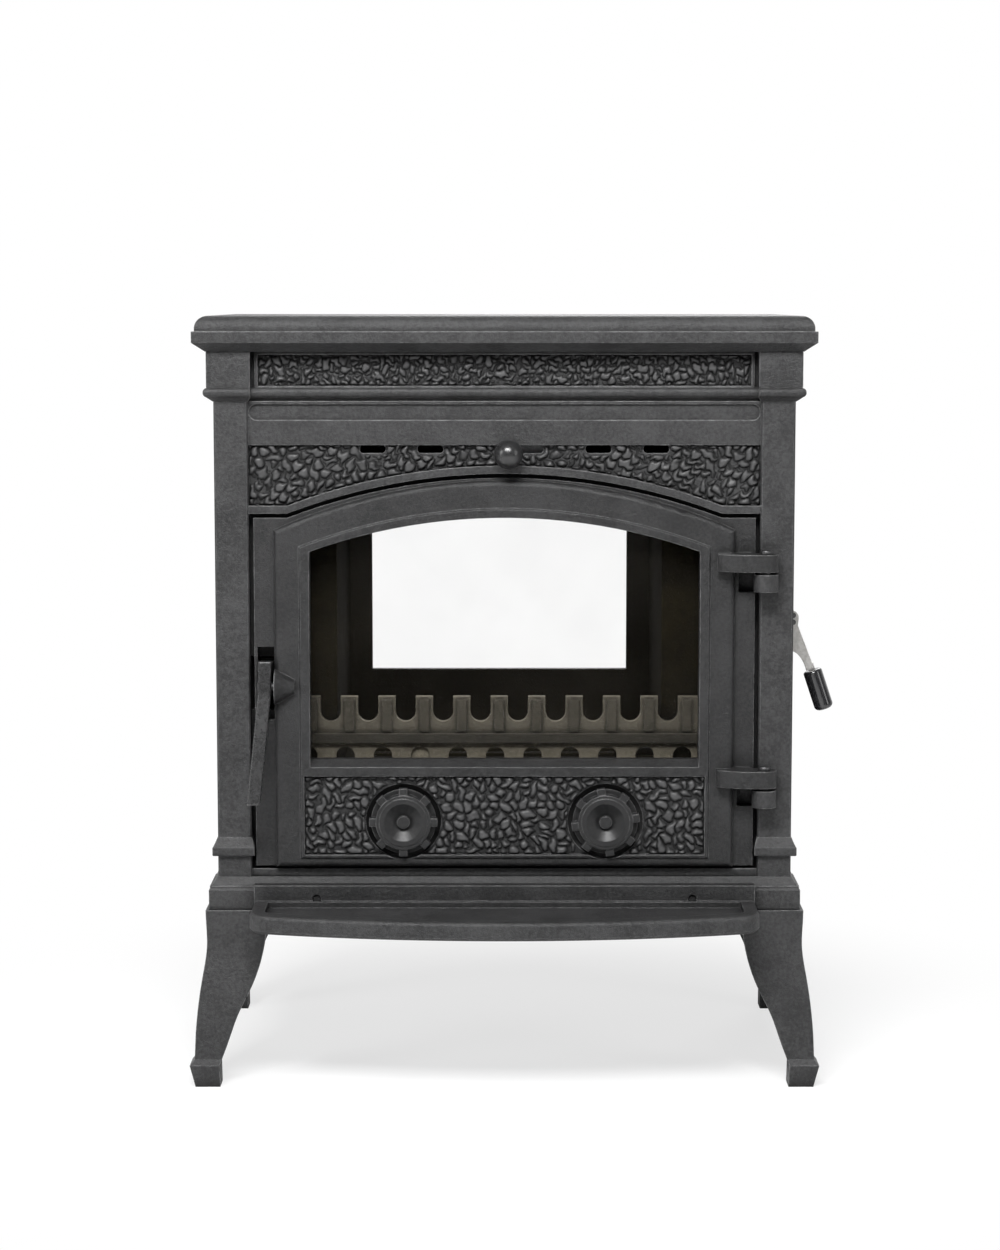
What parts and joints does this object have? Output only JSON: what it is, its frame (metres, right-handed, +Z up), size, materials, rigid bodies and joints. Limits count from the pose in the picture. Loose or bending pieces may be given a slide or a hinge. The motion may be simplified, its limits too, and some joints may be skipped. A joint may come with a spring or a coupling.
{
  "type": "cast iron stove",
  "caption": "Freestanding cast iron wood stove on cabriole legs, with an arched glass door, screw air wheels, a sliding air control, a side lever and a bowed ash lip.",
  "frame": {"origin": "on the floor, midway between the pillars across and from front to back", "axes": "+X to the right seen from the front, +Y to the back, +Z up; the door faces -Y"},
  "size_m": [0.6227, 0.4515, 0.7397],
  "materials": {
    "body_iron": "matt dark grey, cast grain",
    "firebox_iron": "matt, heat stained",
    "plain_steel": "satin",
    "bright_steel": "brushed",
    "clear_glass": "clear",
    "rope_seal": "woven",
    "black_grip": "glossy"
  },
  "bodies": {
    "stove_body": {"base_plate": "body_iron", "leg_front_left": "body_iron", "leg_front_right": "body_iron", "leg_rear_left": "body_iron", "leg_rear_right": "body_iron", "leg_bolts": "plain_steel", "tie_rods": "plain_steel", "tie_rod_nuts": "plain_steel", "front_frame": "body_iron", "rear_frame": "body_iron", "left_side_panel": "body_iron", "right_side_panel": "body_iron", "top_plate": "body_iron", "blanking_plate": "body_iron", "blanking_screws": "plain_steel", "flue_collar": "body_iron", "flue_bolts": "plain_steel", "rear_gasket": "rope_seal", "rear_glass": "clear_glass", "rear_glass_frame": "body_iron", "rear_glass_screws": "plain_steel", "cheek_left": "firebox_iron", "cheek_right": "firebox_iron", "baffle_plate": "firebox_iron", "grate": "firebox_iron", "log_fence": "firebox_iron", "fire_front": "firebox_iron", "ash_pan": "plain_steel", "ash_lip": "body_iron", "ash_lip_bolts": "plain_steel", "slider_rails": "plain_steel", "rail_screws": "plain_steel", "hinge_pins": "plain_steel", "crank_pin": "plain_steel", "crank_bracket": "plain_steel", "bracket_screws": "plain_steel"},
    "front_door": {"door_frame": "body_iron", "glass_gasket": "rope_seal", "door_glass": "clear_glass", "glass_clips": "plain_steel", "glass_clip_screws": "plain_steel", "door_rope": "rope_seal", "handle_pin": "plain_steel", "air_wheel_studs": "plain_steel", "stud_nuts": "plain_steel"},
    "latch_handle": {"door_handle": "body_iron"},
    "left_washer": {"wheel_washer_left": "plain_steel"},
    "left_wheel": {"air_wheel_left": "body_iron"},
    "right_washer": {"wheel_washer_right": "plain_steel"},
    "right_wheel": {"air_wheel_right": "body_iron"},
    "draught_slider": {"air_slider": "plain_steel", "slider_knob": "body_iron"},
    "riddling_handle": {"crank": "body_iron", "riddling_lever": "bright_steel", "riddling_grip": "black_grip", "lever_rivets": "plain_steel"},
    "riddling_slide": {"riddling_plate": "firebox_iron", "riddling_rod": "plain_steel"}
  },
  "joints": [
    {"name": "door_hinge", "type": "hinge", "parent": "stove_body", "child": "front_door", "pos_m": [0.2481, -0.1595, 0.4], "axis": [0, 0, 1], "range_deg": [0, 105]},
    {"name": "handle_pivot", "type": "hinge", "parent": "front_door", "child": "latch_handle", "pos_m": [-0.2285, -0.15, 0.387], "axis": [-1, 0, 0], "range_deg": [0, 35]},
    {"name": "left_wheel_travel", "type": "slide", "parent": "front_door", "child": "left_washer", "axis": [0, -1, 0], "range_m": [0, 0.00375]},
    {"name": "left_wheel_spin", "type": "hinge", "parent": "left_washer", "child": "left_wheel", "pos_m": [-0.097, -0.15, 0.2566], "axis": [0, -1, 0], "range_deg": [0, 1080]},
    {"name": "right_wheel_travel", "type": "slide", "parent": "front_door", "child": "right_washer", "axis": [0, -1, 0], "range_m": [0, 0.00375]},
    {"name": "right_wheel_spin", "type": "hinge", "parent": "right_washer", "child": "right_wheel", "pos_m": [0.097, -0.15, 0.2566], "axis": [0, -1, 0], "range_deg": [0, 1080]},
    {"name": "draught_slide", "type": "slide", "parent": "stove_body", "child": "draught_slider", "axis": [1, 0, 0], "range_m": [0, 0.026]},
    {"name": "riddling_plate_slide", "type": "slide", "parent": "stove_body", "child": "riddling_slide", "axis": [1, 0, 0], "range_m": [0, 0.0255]},
    {"name": "riddling_lever_pivot", "type": "hinge", "parent": "stove_body", "child": "riddling_handle", "pos_m": [0.2735, -0.09, 0.434], "axis": [0, -1, 0], "range_deg": [0, 12]}
  ],
  "couplings": [
    {"joint": "left_wheel_travel", "follows": "left_wheel_spin", "m_per_rad": 0.0001989},
    {"joint": "right_wheel_travel", "follows": "right_wheel_spin", "m_per_rad": 0.0001989},
    {"joint": "riddling_lever_pivot", "follows": "riddling_plate_slide", "rad_per_m": 8.2034}
  ]
}
